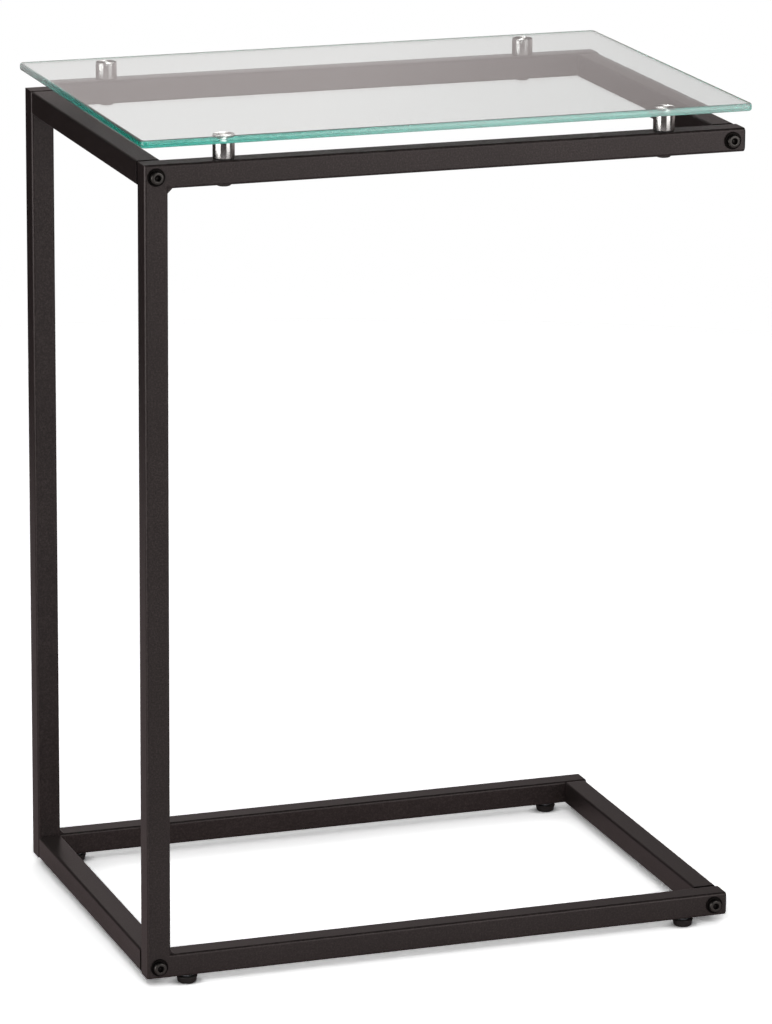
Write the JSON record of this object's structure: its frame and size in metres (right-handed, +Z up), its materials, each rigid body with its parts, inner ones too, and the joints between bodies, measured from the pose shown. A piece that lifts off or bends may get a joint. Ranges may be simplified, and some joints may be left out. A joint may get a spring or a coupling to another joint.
{
  "type": "c-shaped side table",
  "caption": "C-shaped side table: clear glass top on turned steel standoffs, black square-tube C frames joined by bolted cross bars, and screw-in levelling feet.",
  "frame": {"origin": "on the floor, under the centre of the glass top", "axes": "+Z up; +X along the arms, from the uprights to the free ends; -Y to the front"},
  "size_m": [0.5, 0.34, 0.68],
  "materials": {
    "clear_glass": "clear float glass with green, ground and polished edges",
    "black_powder_coat": "matt black powder coat with a fine texture",
    "turned_stainless": "lathe-turned and polished",
    "black_oxide_steel": "black oxide, satin",
    "zinc_steel": "bright zinc plate",
    "black_plastic": "moulded, matt"
  },
  "bodies": {
    "frame": {"back_bottom_arm": "black_powder_coat", "back_top_arm": "black_powder_coat", "back_upright": "black_powder_coat", "back_welds": "black_powder_coat", "bottom_left_crossbar": "black_powder_coat", "bottom_left_plugs": "zinc_steel", "bottom_right_crossbar": "black_powder_coat", "bottom_right_plugs": "zinc_steel", "end_cap_back_bottom": "black_plastic", "end_cap_back_top": "black_plastic", "end_cap_front_bottom": "black_plastic", "end_cap_front_top": "black_plastic", "foot_nut_back_left": "zinc_steel", "foot_nut_back_right": "zinc_steel", "foot_nut_front_left": "zinc_steel", "foot_nut_front_right": "zinc_steel", "frame_bolts": "black_oxide_steel", "frame_washers": "black_oxide_steel", "front_bottom_arm": "black_powder_coat", "front_top_arm": "black_powder_coat", "front_upright": "black_powder_coat", "front_welds": "black_powder_coat", "glass_top": "clear_glass", "standoff_back_left": "turned_stainless", "standoff_back_right": "turned_stainless", "standoff_front_left": "turned_stainless", "standoff_front_right": "turned_stainless", "standoff_screws": "black_oxide_steel", "top_left_crossbar": "black_powder_coat", "top_left_plugs": "zinc_steel", "top_right_crossbar": "black_powder_coat", "top_right_plugs": "zinc_steel"},
    "foot_pad_front_left": {"foot_pad_front_left": "black_plastic"},
    "foot_stud_front_left": {"foot_stud_front_left": "zinc_steel"},
    "foot_pad_front_right": {"foot_pad_front_right": "black_plastic"},
    "foot_stud_front_right": {"foot_stud_front_right": "zinc_steel"},
    "foot_pad_back_left": {"foot_pad_back_left": "black_plastic"},
    "foot_stud_back_left": {"foot_stud_back_left": "zinc_steel"},
    "foot_pad_back_right": {"foot_pad_back_right": "black_plastic"},
    "foot_stud_back_right": {"foot_stud_back_right": "zinc_steel"}
  },
  "joints": [
    {"name": "foot_front_left_height", "type": "slide", "parent": "frame", "child": "foot_pad_front_left", "axis": [0, 0, -1], "range_m": [-0.0008, 0.008]},
    {"name": "foot_front_left_turn", "type": "hinge", "parent": "foot_pad_front_left", "child": "foot_stud_front_left", "pos_m": [-0.2115, -0.1555, 0.0068], "axis": [0, 0, -1], "range_deg": [-288, 2880]},
    {"name": "foot_front_right_height", "type": "slide", "parent": "frame", "child": "foot_pad_front_right", "axis": [0, 0, -1], "range_m": [-0.0008, 0.008]},
    {"name": "foot_front_right_turn", "type": "hinge", "parent": "foot_pad_front_right", "child": "foot_stud_front_right", "pos_m": [0.2115, -0.1555, 0.0068], "axis": [0, 0, -1], "range_deg": [-288, 2880]},
    {"name": "foot_back_left_height", "type": "slide", "parent": "frame", "child": "foot_pad_back_left", "axis": [0, 0, -1], "range_m": [-0.0008, 0.008]},
    {"name": "foot_back_left_turn", "type": "hinge", "parent": "foot_pad_back_left", "child": "foot_stud_back_left", "pos_m": [-0.2115, 0.1555, 0.0068], "axis": [0, 0, -1], "range_deg": [-288, 2880]},
    {"name": "foot_back_right_height", "type": "slide", "parent": "frame", "child": "foot_pad_back_right", "axis": [0, 0, -1], "range_m": [-0.0008, 0.008]},
    {"name": "foot_back_right_turn", "type": "hinge", "parent": "foot_pad_back_right", "child": "foot_stud_back_right", "pos_m": [0.2115, 0.1555, 0.0068], "axis": [0, 0, -1], "range_deg": [-288, 2880]}
  ],
  "couplings": [
    {"joint": "foot_front_left_turn", "follows": "foot_front_left_height", "rad_per_m": 6283.2},
    {"joint": "foot_front_right_turn", "follows": "foot_front_right_height", "rad_per_m": 6283.2},
    {"joint": "foot_back_left_turn", "follows": "foot_back_left_height", "rad_per_m": 6283.2},
    {"joint": "foot_back_right_turn", "follows": "foot_back_right_height", "rad_per_m": 6283.2}
  ]
}
